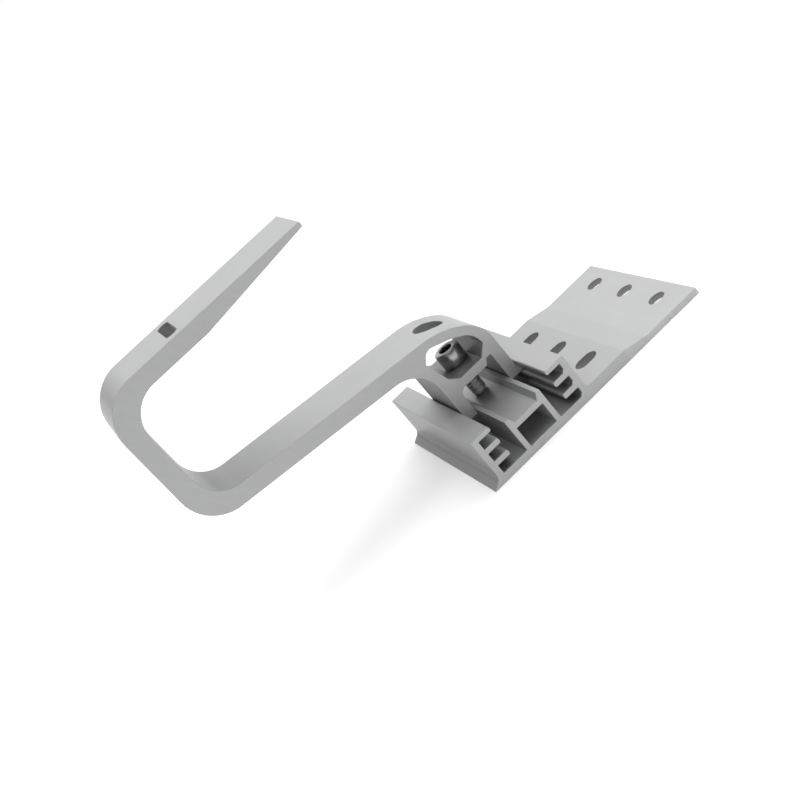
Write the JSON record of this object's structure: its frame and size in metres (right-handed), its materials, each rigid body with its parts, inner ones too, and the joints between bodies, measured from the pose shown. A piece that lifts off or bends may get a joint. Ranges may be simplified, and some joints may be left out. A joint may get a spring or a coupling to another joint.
{
  "type": "solar roof hook",
  "caption": "Adjustable roof hook for solar rails: slotted rail plate, C-shaped hook arm that slides in it, and a socket head clamp screw.",
  "frame": {"origin": "underside of the plate, below the clamp screw, in the middle of the plate's width", "axes": "+X from the hook's rails to the plate's free end, +Y along the extrusions and the hook's slide, +Z away from the roof"},
  "size_m": [0.2282, 0.1, 0.1392],
  "materials": {
    "base_aluminium": "satin, as extruded, with fine lines along the extrusion and sawn ends",
    "hook_aluminium": "satin, as extruded, with fine lines along the extrusion and sawn sides",
    "screw_steel": "grey plated steel with a smooth, glossy head"
  },
  "bodies": {
    "base": {"base_rail_plate": "base_aluminium"},
    "hook": {"hook_arm": "hook_aluminium"},
    "screw": {"clamp_screw": "screw_steel"}
  },
  "joints": [
    {"name": "hook_slide", "type": "slide", "parent": "base", "child": "hook", "axis": [0, 1, 0], "range_m": [-0.032, 0.032]},
    {"name": "screw_turn", "type": "hinge", "parent": "hook", "child": "screw", "pos_m": [0, 0, 0.03705], "axis": [0, 0, 1], "range_deg": [0, 720]}
  ]
}
